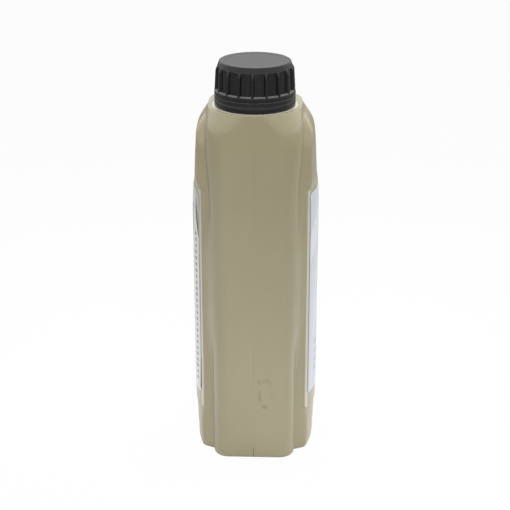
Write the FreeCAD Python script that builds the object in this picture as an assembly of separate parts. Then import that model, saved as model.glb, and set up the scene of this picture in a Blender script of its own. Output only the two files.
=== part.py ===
"""One-litre oil bottle with an offset neck, a ribbed screw cap and a tamper band.

Millimetres, +Z up. The origin is on the floor under the middle of the bottle's outline.
The neck stands near the narrow end at -X. The broad faces look along -Y and +Y.
"""

import FreeCAD, Part
import math
import os

from FreeCAD import Vector

os.makedirs("parts", exist_ok=True)

# Body of the bottle
body_height = 220.0
wall = 1.1
near_reach = 25.3  # neck axis to the narrow end beside the neck
far_reach = 62.7  # neck axis to the other narrow end
foot_round = 2.2
foot_recess = 1.2
foot_rim = 6.0

# Spine: the slab whose ends stand proud of the wings
spine_half_width = 25.1
spine_top_half_width = 27.9
spine_corner = 9.0
spine_top_corner = 26.0
flare_drop = 80.0  # collar down to where the spine starts to widen

# Wings: the barrel on both sides of the spine
wing_setback = 10.6  # spine end to the crease where a wing starts
wing_slope_deg = 24.0  # how far a wing's end face leans back
ridge_half_width = 30.6  # along the label panels
shoulder_ridge_half_width = 33.4  # above the label panels
ridge_spread_height = 6.0  # over which the ridge moves out above the panels
ridge_round = 3.0
broad_half_width = 37.2
broad_flat_half = 5.0  # half the flat middle of a broad face
broad_foot_half_width = 36.0
foot_taper_height = 28.0
brow_half_width = 35.0
brow_drop = 14.5  # collar down to the shoulder's brow
collar_half_width = 28.6
shoulder_round = 5.0

# Shoulder: a cone about the neck's axis, and a slope behind the neck
cone_top_radius = 28.3
cone_steepness_deg = 56.5
slope_back_reach = 33.0  # neck axis to where the slope would meet the collar's level
far_shoulder_drop = 82.0  # collar down to the slope's lower end
far_shoulder_round = 60.0

# Raised label panels and the labels on them
panel_rise = 0.7
panel_bottom = 27.2
panel_top_drop = 48.8  # collar down to a panel's top edge
panel_half_length = 30.9
panel_corner = 4.0
label_thickness = 0.2
label_glue = 0.05  # between a panel and its label
label_margin = 3.0
label_foot_margin = 9.8  # panel's lower edge to the label
label_corner = 3.0

# Neck
neck_height = 23.1
neck_radius = 18.6
neck_wall = 1.6
neck_bead_radius = 21.3
neck_bead_bottom = 2.4  # above the collar
neck_bead_height = 1.2
collar_edge = 0.8

# Screw thread, right-handed, shared by neck and cap
thread_pitch = 4.0
neck_thread_start = 9.5  # above the collar
neck_thread_turns = 2.25
neck_thread_depth = 1.5
neck_thread_root = 2.3
neck_thread_crest = 1.1
cap_thread_turns = 1.25
cap_thread_depth = 1.4
cap_thread_root = 2.0
cap_thread_crest = 0.9
thread_sink = 0.25

# Screw cap
skirt_clearance = 2.0  # neck wall to skirt, room for both threads
skirt_wall = 1.3
cap_top_wall = 1.8
cap_edge_round = 1.2
cap_top_radius = 20.6
cone_height = 4.6
flange_wall = 2.9
flange_height = 2.4
rib_count = 18
rib_width = 1.9
rib_rise = 0.75
rib_head_drop = 5.8  # cap top to where a rib starts to round over
rib_round = 3.2
rib_phase_deg = 1.6  # first rib, turned from -X towards +Y

# Sealing wad in the cap
liner_thickness = 0.9
liner_play = 0.5
seat_gap = 0.1

# Tamper band
band_height = 6.1
band_gap = 0.3  # band above the collar
slit = 0.4  # band to cap
band_outer_radius = 23.5
band_wall = 1.6
band_lip_radius = 20.8
band_lip_height = 1.4

# Oil
oil_drop = 21.8  # collar down to the oil
oil_clearance = 0.3

# Derived places
body_length = near_reach + far_reach
floor_wall = foot_recess + wall
spine_flare_start = body_height - flare_drop
brow_height = body_height - brow_drop
far_shoulder_height = body_height - far_shoulder_drop
panel_top = body_height - panel_top_drop
oil_level = body_height - oil_drop
neck_x = near_reach - body_length / 2
wing_span = body_length / 2 - wing_setback
rim_z = body_height + neck_height
band_bottom = body_height + band_gap
band_top = band_bottom + band_height
cap_bottom = band_top + slit
liner_bottom = rim_z + seat_gap
liner_top = liner_bottom + liner_thickness
cap_ceiling = liner_top + seat_gap
cap_top = cap_ceiling + cap_top_wall
skirt_inner = neck_radius + skirt_clearance
skirt_outer = skirt_inner + skirt_wall
flange_radius = skirt_inner + flange_wall
flange_top = cap_bottom + flange_height
bore_radius = neck_radius - neck_wall


def smooth(t):
    """Ease from 0 to 1 with level ends."""
    t = min(max(t, 0.0), 1.0)
    return t * t * (3 - 2 * t)


def line(a, b):
    """A straight edge between two points."""
    return Part.LineSegment(a, b).toShape()


def arc(a, through, b):
    """A round edge from a to b that passes through a point."""
    return Part.Arc(a, through, b).toShape()


def polygon_face(points):
    """A flat face with straight sides."""
    return Part.Face(Part.makePolygon(list(points) + [points[0]]))


def turned(points, centre_x=0.0):
    """A solid turned about the neck's axis from (radius, height) points."""
    face = polygon_face([Vector(r, 0, z) for r, z in points])
    solid = face.revolve(Vector(0, 0, 0), Vector(0, 0, 1), 360)
    solid.translate(Vector(centre_x, 0, 0))
    return solid


def spine_wire(z, inset):
    """The spine's rounded-rectangle outline at a height, drawn in by inset."""
    flare = smooth((z - spine_flare_start) / (body_height - spine_flare_start))
    half = spine_half_width + (spine_top_half_width - spine_half_width) * flare - inset
    corner = spine_corner + (spine_top_corner - spine_corner) * flare - inset
    end = body_length / 2 - inset

    def corner_point(centre, turn_deg):
        turn = math.radians(turn_deg)
        return centre + Vector(math.cos(turn), math.sin(turn), 0) * corner

    arcs = []
    for start_deg, sx, sy in ((0, 1, 1), (90, -1, 1), (180, -1, -1), (270, 1, -1)):
        centre = Vector(sx * (end - corner), sy * (half - corner), z)
        arcs.append([corner_point(centre, start_deg + turn) for turn in (0, 45, 90)])
    edges = []
    for (start, middle, stop), following in zip(arcs, arcs[1:] + arcs[:1]):
        edges.append(arc(start, middle, stop))
        edges.append(line(stop, following[0]))
    return Part.Wire(edges)


def spine_body(inset, bottom, top):
    """The slab from end to end: straight with a rounded foot, then flared under the collar."""
    lower = Part.Face(spine_wire(bottom, inset)).extrude(Vector(0, 0, spine_flare_start - bottom))
    lower = lower.makeFillet(foot_round - inset / 2, foot_edges(lower, bottom))
    steps = 6
    edge_z = top - collar_edge
    rise = edge_z - spine_flare_start
    heights = [spine_flare_start + rise * i / steps for i in range(steps + 1)]
    upper = Part.makeLoft([spine_wire(z, inset) for z in heights], True, False)
    rim = Part.makeLoft([spine_wire(edge_z, inset), spine_wire(top, inset + collar_edge)], True, True)
    return lower.fuse(upper).fuse(rim)


def wing_quarter(inset, ridge_half):
    """Points of a quarter of the barrel's outline, from the spine to the flat middle.

    The end face is a straight line, the broad face an arc that touches the flat, and a
    small arc that touches both rounds the ridge between them.
    """
    lean = math.radians(wing_slope_deg)
    along = Vector(-math.sin(lean), math.cos(lean), 0)
    inward = Vector(-math.cos(lean), -math.sin(lean), 0)
    crease = Vector(wing_span, spine_half_width, 0)
    ridge = crease + along * ((ridge_half - spine_half_width) / math.cos(lean))
    sagitta = broad_half_width - ridge_half
    chord = ridge.x - broad_flat_half
    radius = (chord * chord + sagitta * sagitta) / (2 * sagitta)
    centre = Vector(broad_flat_half, broad_half_width - radius, 0)
    # The ridge circle lies one radius inside both faces
    start = crease + inward * ridge_round
    gap = start - centre
    reach = radius - ridge_round
    b = gap.dot(along)
    s = -b + math.sqrt(b * b - gap.dot(gap) + reach * reach)
    ridge_centre = start + along * s
    to_ridge = (ridge_centre - centre).normalize()
    root = crease - along * (spine_half_width / 2)
    outward = inward * -1
    middle_ridge = (outward + to_ridge).normalize()
    ridge_r = ridge_round - inset
    broad_r = radius - inset
    half_turn = Vector(0, 1, 0) + to_ridge
    return {
        "root": root + inward * inset,
        "ridge_start": ridge_centre + outward * ridge_r,
        "ridge_middle": ridge_centre + middle_ridge * ridge_r,
        "ridge_end": ridge_centre + to_ridge * ridge_r,
        "broad_middle": centre + half_turn.normalize() * broad_r,
        "flat_start": Vector(broad_flat_half, broad_half_width - inset, 0),
    }


def wing_wire(inset, z, ridge_half):
    """The barrel's whole outline at a height."""
    quarter = wing_quarter(inset, ridge_half)

    def at(name, sx, sy):
        p = quarter[name]
        return Vector(sx * p.x, sy * p.y, z)

    def run(sx, sy):
        return [
            line(at("root", sx, sy), at("ridge_start", sx, sy)),
            arc(at("ridge_start", sx, sy), at("ridge_middle", sx, sy), at("ridge_end", sx, sy)),
            arc(at("ridge_end", sx, sy), at("broad_middle", sx, sy), at("flat_start", sx, sy)),
        ]

    edges = []
    for sx in (1, -1):
        edges.append(line(at("root", sx, -1), at("root", sx, 1)))
        for sy in (1, -1):
            edges += run(sx, sy)
    for sy in (1, -1):
        edges.append(line(at("flat_start", 1, sy), at("flat_start", -1, sy)))
    return Part.Wire(Part.__sortEdges__(edges))


def wing_face(inset, z, ridge_half=ridge_half_width):
    """The barrel's whole outline as a flat face at a height."""
    return Part.Face(wing_wire(inset, z, ridge_half))


def shoulder_wings(inset, top):
    """The barrel above the label panels, where its ridges stand farther out."""
    foot = panel_top + inset
    spread = foot + ridge_spread_height
    heights = ((foot, ridge_half_width), (spread, shoulder_ridge_half_width))
    sections = [wing_wire(inset, z, ridge_half) for z, ridge_half in heights]
    upper = wing_face(inset, spread, shoulder_ridge_half_width).extrude(Vector(0, 0, top - spread))
    return Part.makeLoft(sections, True, True).fuse(upper)


def front_mask(inset):
    """A slab along X with the outline that the bottle shows from its narrow end."""
    half = [
        (broad_foot_half_width, -foot_round),
        (broad_foot_half_width, 0.0),
        (broad_half_width + panel_rise, foot_taper_height),
        (broad_half_width + panel_rise, panel_top),
        (brow_half_width, brow_height),
        (collar_half_width, body_height),
        (collar_half_width, body_height + foot_round),
    ]
    points = [Vector(0, y, z) for y, z in half] + [Vector(0, -y, z) for y, z in reversed(half)]
    return mask_slab(points, inset, Vector(body_length, 0, 0))


def side_mask(inset):
    """A slab along Y with the outline of a broad face, sloped behind the neck."""
    end = body_length / 2
    back = neck_x + slope_back_reach
    points = [
        Vector(-end - foot_round, 0, -foot_round),
        Vector(end, 0, -foot_round),
        Vector(end, 0, far_shoulder_height),
        Vector(back, 0, body_height),
        Vector(back, 0, body_height + foot_round),
        Vector(-end - foot_round, 0, body_height + foot_round),
    ]
    return mask_slab(points, inset, Vector(0, body_length, 0), far_shoulder_round)


def cone_mask(inset):
    """A cone about the neck's axis that rounds the shoulder off, with a plain foot."""
    steepness = math.radians(cone_steepness_deg)
    fall = body_length * math.tan(steepness)
    top = cone_top_radius - inset / math.sin(steepness)
    return turned(
        [
            (0, -foot_round),
            (top + body_length, -foot_round),
            (top + body_length, body_height - fall),
            (top, body_height),
            (top, body_height + foot_round),
            (0, body_height + foot_round),
        ],
        neck_x,
    )


def mask_slab(points, inset, span, rounding=shoulder_round):
    """A slab through the bottle from a flat outline, drawn in and with its upright bends rounded."""
    wire = Part.makePolygon(points + [points[0]])
    if inset:
        wire = wire.makeOffset2D(-inset, 2)
    face = Part.Face(wire)
    slab = face.extrude(span)
    slab.translate(span * -0.5)
    bends = [e for e in slab.Edges if is_bend(e, span)]
    return slab.makeFillet(rounding, bends) if bends else slab


def is_bend(edge, span):
    """Whether an edge runs along the slab at the foot of the shoulder."""
    box = edge.BoundBox
    long_way = max(box.XLength, box.YLength) > body_length * 0.9
    if span.x:
        return long_way and abs(box.ZMin - brow_height) < shoulder_round
    return long_way and abs(box.ZMin - far_shoulder_height) < shoulder_round and box.XMin > 0


def foot_edges(solid, z):
    """The edges of a solid that lie in a level plane."""
    return [e for e in solid.Edges if e.BoundBox.ZMin > z - 1e-4 and e.BoundBox.ZMax < z + 1e-4]


def body_form(inset, bottom):
    """The bottle's body up to its collar, drawn in by inset and cut off level at the bottom."""
    top = body_height - inset
    wings = wing_face(inset, bottom).extrude(Vector(0, 0, top - collar_edge - bottom))
    wings = wings.makeFillet(foot_round - inset / 2, foot_edges(wings, bottom))
    wings = wings.fuse(shoulder_wings(inset, top - collar_edge)).common(front_mask(inset))
    panels = grown_wings(panel_rise - inset).common(panel_outline(inset, panel_corner - inset))
    body = spine_body(inset, bottom, top).fuse(wings).fuse(panels)
    return body.common(side_mask(inset)).common(cone_mask(inset))


def panel_outline(margin, corner, raised_foot=0.0):
    """A block through both broad faces with the rounded outline of a label panel."""
    length = 2 * (panel_half_length - margin)
    foot = panel_bottom + margin + raised_foot
    block = Part.makeBox(length, body_length, panel_top - margin - foot)
    block.translate(Vector(-length / 2, -body_length / 2, foot))
    upright = [e for e in block.Edges if e.BoundBox.YLength > body_length * 0.9]
    return block.makeFillet(corner, upright)


def grown_wings(rise):
    """The barrel grown outwards by a rise, up to the height of the label panels."""
    return wing_face(-rise, 0).extrude(Vector(0, 0, panel_top))


def label(side):
    """The thin label on one broad face: side is -1 for the front and 1 for the back."""
    under = panel_rise + label_glue
    sheet = grown_wings(under + label_thickness).cut(grown_wings(under))
    outline = panel_outline(label_margin, label_corner, label_foot_margin - label_margin)
    sheet = sheet.common(outline).common(cone_mask(label_margin))
    half = Part.makeBox(body_length, broad_half_width * 2, body_height)
    half.translate(Vector(-body_length / 2, 0 if side > 0 else -broad_half_width * 2, 0))
    return sheet.common(half)


def thread(base_radius, depth, root, crest, start_z, turns, outward):
    """A right-handed thread ridge: a trapezoid carried along a helix about the neck's axis."""
    sign = 1 if outward else -1
    inner = base_radius - sign * thread_sink
    outer = base_radius + sign * depth
    helix = Part.makeHelix(thread_pitch, thread_pitch * turns, base_radius)
    profile = Part.makePolygon(
        [
            Vector(inner, 0, -root / 2),
            Vector(outer, 0, -crest / 2),
            Vector(outer, 0, crest / 2),
            Vector(inner, 0, root / 2),
            Vector(inner, 0, -root / 2),
        ]
    )
    ridge = Part.Wire(helix.Edges).makePipeShell([profile], True, True)
    if ridge.Volume < 0:
        ridge.reverse()
    ridge.translate(Vector(0, 0, start_z))
    return ridge


def neck_outside():
    """The neck as a plug, with the bead that keeps the tamper band."""
    bead_z = body_height + neck_bead_bottom
    rise = neck_bead_radius - neck_radius
    plug = turned(
        [
            (0, body_height - wall * 2),
            (neck_radius, body_height - wall * 2),
            (neck_radius, bead_z),
            (neck_bead_radius, bead_z),
            (neck_bead_radius, bead_z + neck_bead_height),
            (neck_radius, bead_z + neck_bead_height + rise / 2),
            (neck_radius, rim_z),
            (0, rim_z),
        ]
    )
    ridge = thread(
        neck_radius,
        neck_thread_depth,
        neck_thread_root,
        neck_thread_crest,
        body_height + neck_thread_start,
        neck_thread_turns,
        True,
    )
    plug = plug.fuse(ridge)
    plug.translate(Vector(neck_x, 0, 0))
    return plug


def bottle_shell():
    """The blown bottle in one piece: body, raised label panels and threaded neck."""
    outside = body_form(0.0, 0.0).fuse(neck_outside())
    inside = body_form(wall, floor_wall)
    bore_bottom = body_height - wall * 3
    bore = Part.makeCylinder(bore_radius, rim_z + wall - bore_bottom)
    bore.translate(Vector(neck_x, 0, bore_bottom))
    recess = Part.Face(spine_wire(0.0, foot_rim)).extrude(Vector(0, 0, foot_recess))
    return outside.cut(inside).cut(bore).cut(recess)


def motor_oil():
    """The filling, just clear of the wall, up to its level under the neck."""
    form = body_form(wall + oil_clearance, floor_wall + oil_clearance)
    room = Part.makeBox(body_length * 2, body_length * 2, oil_level)
    room.translate(Vector(-body_length, -body_length, 0))
    return form.common(room)


def rib():
    """One grip rib at angle zero, rounded over at its top."""
    inner = skirt_outer - rib_rise
    outer = skirt_outer + rib_rise
    head = cap_top - rib_head_drop
    face = polygon_face(
        [
            Vector(inner, -rib_width / 2, flange_top),
            Vector(flange_radius, -rib_width / 2, flange_top),
            Vector(outer, -rib_width / 2, head),
            Vector(inner, -rib_width / 2, head + rib_round),
        ]
    )
    return face.extrude(Vector(0, rib_width, 0))


def screw_cap():
    """The cap: domed top, ribbed skirt, flange at its foot and a thread inside."""
    head = cap_top - cone_height
    outside = turned(
        [
            (0, cap_bottom),
            (flange_radius, cap_bottom),
            (flange_radius, flange_top),
            (skirt_outer, flange_top),
            (skirt_outer, head),
            (cap_top_radius, cap_top - cap_edge_round),
            (cap_top_radius - cap_edge_round, cap_top),
            (0, cap_top),
        ]
    )
    for i in range(rib_count):
        grip = rib()
        turn = 180 - rib_phase_deg + 360.0 * i / rib_count
        grip.rotate(Vector(0, 0, 0), Vector(0, 0, 1), turn)
        outside = outside.fuse(grip)
    inside = turned(
        [
            (0, cap_bottom - slit),
            (skirt_inner, cap_bottom - slit),
            (skirt_inner, cap_ceiling),
            (0, cap_ceiling),
        ]
    )
    ridge = thread(
        skirt_inner,
        cap_thread_depth,
        cap_thread_root,
        cap_thread_crest,
        body_height + neck_thread_start + thread_pitch / 2,
        cap_thread_turns,
        False,
    )
    cap = outside.cut(inside).fuse(ridge)
    cap.translate(Vector(neck_x, 0, 0))
    return cap


def cap_liner():
    """The sealing wad under the cap's top."""
    radius = skirt_inner - liner_play
    return turned(
        [(0, liner_bottom), (radius, liner_bottom), (radius, liner_top), (0, liner_top)], neck_x
    )


def tamper_band():
    """The ring that stays on the neck, kept by a lip under the neck's bead."""
    inner = band_outer_radius - band_wall
    lip_top = band_bottom + band_lip_height
    return turned(
        [
            (band_lip_radius, band_bottom),
            (band_outer_radius, band_bottom),
            (band_outer_radius, band_top),
            (inner, band_top),
            (inner, lip_top + inner - band_lip_radius),
            (band_lip_radius, lip_top),
        ],
        neck_x,
    )


def write(name, shape):
    """Test a sub-part and write its file."""
    if shape.ShapeType != "Solid" and len(shape.Solids) == 1:
        shape = shape.Solids[0]
    box = shape.BoundBox
    print(
        name, shape.ShapeType, "solids", len(shape.Solids), "valid", shape.isValid(),
        "volume %.1f" % shape.Volume,
        "box %.1f %.1f %.1f to %.1f %.1f %.1f"
        % (box.XMin, box.YMin, box.ZMin, box.XMax, box.YMax, box.ZMax),
    )
    shape.exportStep("parts/%s.step" % name)


write("bottle_shell", bottle_shell())
write("screw_cap", screw_cap())
write("cap_liner", cap_liner())
write("tamper_band", tamper_band())
write("front_label", label(-1))
write("back_label", label(1))
write("motor_oil", motor_oil())
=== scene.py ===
"""Motor oil bottle: a blown bottle with an offset neck, a ribbed screw cap and a tamper band.

Shapes are worked out in millimetres and put into Blender in metres. +Z is up, the neck stands
near the end at -X, and the broad faces look along -Y (front label) and +Y (back label).
"""

import logging
import math
from dataclasses import dataclass
from enum import Enum
from typing import Callable, Sequence, Union

import bpy
import numpy as np
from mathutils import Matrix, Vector


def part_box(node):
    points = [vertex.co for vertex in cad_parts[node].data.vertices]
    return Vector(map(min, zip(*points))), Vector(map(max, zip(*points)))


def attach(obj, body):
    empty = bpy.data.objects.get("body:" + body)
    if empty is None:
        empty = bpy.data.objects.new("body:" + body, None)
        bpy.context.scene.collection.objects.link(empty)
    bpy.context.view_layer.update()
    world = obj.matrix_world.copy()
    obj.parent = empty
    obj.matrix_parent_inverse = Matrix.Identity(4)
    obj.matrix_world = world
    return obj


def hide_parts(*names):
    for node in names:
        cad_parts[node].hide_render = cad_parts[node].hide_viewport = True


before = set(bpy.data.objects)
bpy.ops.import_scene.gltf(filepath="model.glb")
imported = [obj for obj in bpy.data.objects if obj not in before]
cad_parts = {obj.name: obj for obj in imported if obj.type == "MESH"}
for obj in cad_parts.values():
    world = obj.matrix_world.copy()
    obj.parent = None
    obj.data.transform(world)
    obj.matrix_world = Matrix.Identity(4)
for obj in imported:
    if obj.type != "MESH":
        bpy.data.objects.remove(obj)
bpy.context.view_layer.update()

MM = 0.001
Stations = Sequence[tuple[float, float]]

log = logging.getLogger("oil_bottle")


class Side(Enum):
    """The two broad faces, by the sign of their Y."""

    FRONT = -1
    BACK = 1


# Shape helpers


def ease(t: np.ndarray) -> np.ndarray:
    """Go from 0 to 1 with level ends: 3 t squared less 2 t cubed, held outside 0 to 1."""
    t = np.clip(t, 0.0, 1.0)
    return t * t * (3.0 - 2.0 * t)


def smooth_max(a: np.ndarray, b: np.ndarray, blend: np.ndarray) -> np.ndarray:
    """The larger of two fields, with a parabola that joins them where they differ by under blend.

    Args:
        a: First field.
        b: Second field.
        blend: Width of the join, in the fields' own unit.

    Returns:
        The joined field. For insides below zero, this is what both shapes have in common.
    """
    t = np.clip(0.5 + 0.5 * (a - b) / blend, 0.0, 1.0)
    return b + (a - b) * t + blend * t * (1.0 - t)


def smooth_min(a: np.ndarray, b: np.ndarray, blend: np.ndarray) -> np.ndarray:
    """The smaller of two fields, joined as smooth_max does: both shapes together."""
    return -smooth_max(-a, -b, blend)


def through(z: np.ndarray, stations: Stations) -> np.ndarray:
    """A smooth curve through (height, value) stations that never overshoots between them.

    Each stretch is a cubic whose end slopes are the harmonic mean of the slopes beside it.

    Args:
        z: Heights to work out.
        stations: Heights and values, in rising order of height.

    Returns:
        The value at each height.
    """
    at, value = np.array(stations, float).T
    z = np.clip(z, at[0], at[-1])
    run = np.diff(at)
    slope = np.diff(value) / run
    product = slope[:-1] * slope[1:]
    inner = np.where(product > 0, 2 * product / np.where(product > 0, slope[:-1] + slope[1:], 1), 0)
    tangent = np.concatenate([[slope[0]], inner, [slope[-1]]])
    i = np.clip(np.searchsorted(at, z, side="right") - 1, 0, len(run) - 1)
    t = (z - at[i]) / run[i]
    start = (2 * t**3 - 3 * t**2 + 1) * value[i] + (t**3 - 2 * t**2 + t) * run[i] * tangent[i]
    stop = (3 * t**2 - 2 * t**3) * value[i + 1] + (t**3 - t**2) * run[i] * tangent[i + 1]
    return start + stop


def rounded_box(across: np.ndarray, up: np.ndarray, half_across: np.ndarray,
                half_up: np.ndarray, corner: np.ndarray) -> np.ndarray:
    """Distance to a rounded rectangle: the length past its corner centres, less the corner.

    Args:
        across: Distance from the middle along one side.
        up: Distance from the middle along the other side.
        half_across: Half the first side.
        half_up: Half the second side.
        corner: Corner radius.

    Returns:
        The distance, below zero inside.
    """
    q_across = np.abs(across) - (half_across - corner)
    q_up = np.abs(up) - (half_up - corner)
    outside = np.hypot(np.maximum(q_across, 0.0), np.maximum(q_up, 0.0))
    return outside + np.minimum(np.maximum(q_across, q_up), 0.0) - corner


def crossing(field: Callable[[np.ndarray], np.ndarray], low: float, high: float,
             like: np.ndarray) -> np.ndarray:
    """Where a rising field passes zero along each ray, found by halving the stretch.

    Args:
        field: Gives the field at each ray's distance.
        low: A distance inside on every ray.
        high: A distance outside on every ray.
        like: Any array with one entry a ray.

    Returns:
        The distance along each ray.
    """
    halvings = 26
    inside = np.full(like.shape, low)
    outside = np.full(like.shape, high)
    for _ in range(halvings):
        middle = 0.5 * (inside + outside)
        out = field(middle) > 0.0
        outside = np.where(out, middle, outside)
        inside = np.where(out, inside, middle)
    return 0.5 * (inside + outside)


def profile(corners: Sequence[tuple[float, float, float]], spacing: float) -> np.ndarray:
    """A turned piece's outline: straight runs whose corners are rounded with arcs.

    Each arc touches both runs: it starts before the corner by its radius over the tangent of
    half the corner's opening.

    Args:
        corners: (radius from the axis, height, corner rounding) along the outline.
        spacing: Longest step along a straight run.

    Returns:
        The outline's points as rows of (radius, height).
    """
    arc_steps = 5
    pieces = [np.array([corners[0][:2]])]
    for before, here, after in zip(corners, corners[1:], corners[2:]):
        point = np.array(here[:2])
        back = np.array(before[:2]) - point
        ahead = np.array(after[:2]) - point
        back_way = back / np.linalg.norm(back)
        ahead_way = ahead / np.linalg.norm(ahead)
        opening = math.acos(float(np.clip(back_way @ ahead_way, -1.0, 1.0)))
        radius = here[2]
        if radius <= 0.0 or opening > math.radians(179.0):
            pieces.append(point[None])
            continue
        reach = radius / math.tan(opening / 2)
        centre = point + (back_way + ahead_way) / np.linalg.norm(back_way + ahead_way) * (
            radius / math.sin(opening / 2))
        start = point + back_way * reach - centre
        stop = point + ahead_way * reach - centre
        share = np.linspace(0.0, 1.0, arc_steps)[:, None]
        chord = start * (1 - share) + stop * share
        pieces.append(centre + chord / np.linalg.norm(chord, axis=1, keepdims=True) * radius)
    pieces.append(np.array([corners[-1][:2]]))
    outline = np.concatenate(pieces)
    length = np.linalg.norm(np.diff(outline, axis=0), axis=1)
    parts = np.maximum(np.ceil(length / spacing).astype(int), 1)
    place = np.repeat(np.arange(len(parts)), parts)
    share = (np.arange(len(place)) - np.repeat(np.cumsum(parts) - parts, parts)) / parts[place]
    points = outline[place] + (outline[place + 1] - outline[place]) * share[:, None]
    return np.concatenate([points, outline[-1:]])


def helix_ridge(angle: np.ndarray, z: np.ndarray, start: float, pitch: float, turns: float,
                root: float, crest: float) -> np.ndarray:
    """Height share of a right-handed thread: a trapezoid about a line that climbs with the angle.

    Args:
        angle: Angle about the neck's axis, in radians.
        z: Height.
        start: Height of the ridge's middle at angle zero.
        pitch: Climb a turn.
        turns: Length of the ridge in turns.
        root: Width of the ridge at its foot.
        crest: Width of the ridge at its top.

    Returns:
        0 beside the ridge to 1 on its crest, faded out at both ends.
    """
    fade = 0.06
    share = np.mod(angle / (2 * math.pi), 1.0)
    climb = (z - start) / pitch - share
    turn = np.clip(np.round(climb), 0, math.floor(turns))
    run = share + turn
    flank = (root / 2 - np.abs(climb - turn) * pitch) / ((root - crest) / 2)
    ends = np.clip(run / fade, 0, 1) * np.clip((turns - run) / fade, 0, 1)
    return np.clip(flank, 0.0, 1.0) * ends


# Mesh helpers


def finish_mesh(name: str, points: np.ndarray, faces: list, crease_deg: float) -> bpy.types.Object:
    """Make an object of points and faces, smooth except where it folds by more than an angle.

    Args:
        name: The object's name.
        points: Rows of (x, y, z) in millimetres.
        faces: Lists of point numbers.
        crease_deg: Fold past which an edge stays sharp.

    Returns:
        The new object, at the origin.
    """
    mesh = bpy.data.meshes.new(name)
    mesh.from_pydata((points * MM).tolist(), [], faces)
    mesh.shade_smooth()
    mesh.set_sharp_from_angle(angle=math.radians(crease_deg))
    piece = bpy.data.objects.new(name, mesh)
    bpy.context.collection.objects.link(piece)
    return piece


def ring_piece(name: str, rings: np.ndarray, crease_deg: float, endless: bool = False) -> bpy.types.Object:
    """Skin rings of points, each closed round the piece.

    The rings run so that a ring's way round crossed with the way to the next ring points
    outwards. The first and last rings are closed by a point in their middle, unless the rings
    themselves form a loop.

    Args:
        name: The object's name.
        rings: Points as (ring, place round the ring, xyz), in millimetres.
        crease_deg: Fold past which an edge stays sharp.
        endless: Whether the last ring joins the first.

    Returns:
        The new object.
    """
    count, around = rings.shape[:2]
    number = np.arange(count * around).reshape(count, around)
    here = number if endless else number[:-1]
    above = np.roll(number, -1, axis=0) if endless else number[1:]
    quads = np.stack([here, np.roll(here, -1, 1), np.roll(above, -1, 1), above], axis=-1)
    faces = quads.reshape(-1, 4).tolist()
    points = rings.reshape(-1, 3)
    if not endless:
        poles = np.stack([rings[0].mean(axis=0), rings[-1].mean(axis=0)])
        first, last = number[0], number[-1]
        pole = np.full(around, count * around)
        faces += np.stack([pole, np.roll(first, -1), first], axis=-1).tolist()
        faces += np.stack([pole + 1, last, np.roll(last, -1)], axis=-1).tolist()
        points = np.concatenate([points, poles])
    return finish_mesh(name, points, faces, crease_deg)


def turned_rings(outline: np.ndarray, angles: np.ndarray, neck_x: float) -> np.ndarray:
    """Rings of a turned piece: each (radius, height) carried round the neck's axis.

    Args:
        outline: Rows of (radius, height).
        angles: Angles round the axis, in radians.
        neck_x: The axis' place along X.

    Returns:
        Points as (ring, place round the ring, xyz).
    """
    radius = outline[:, :1] * np.ones_like(angles)
    height = outline[:, 1:] * np.ones_like(angles)
    return to_points(radius, height, angles, neck_x)


def to_points(radius: np.ndarray, height: np.ndarray, angles: np.ndarray, neck_x: float) -> np.ndarray:
    """Turn radius, height and angle about the neck's axis into (x, y, z)."""
    x = neck_x + radius * np.cos(angles)
    return np.stack([x, radius * np.sin(angles), height], axis=-1)


# Shader helpers

Amount = Union["Term", float]


@dataclass(frozen=True)
class Term:
    """A number in a shader, so that a pattern's formula can be written as plain arithmetic."""

    shader: "Shader"
    socket: bpy.types.NodeSocket

    def __add__(self, other: Amount) -> "Term":
        """Sum of two numbers."""
        return self.shader.math("ADD", self, other)

    def __sub__(self, other: Amount) -> "Term":
        """Difference of two numbers."""
        return self.shader.math("SUBTRACT", self, other)

    def __mul__(self, other: Amount) -> "Term":
        """Product of two numbers."""
        return self.shader.math("MULTIPLY", self, other)

    def __truediv__(self, other: Amount) -> "Term":
        """Quotient of two numbers."""
        return self.shader.math("DIVIDE", self, other)

    def size(self) -> "Term":
        """The number without its sign."""
        return self.shader.math("ABSOLUTE", self)


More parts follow.
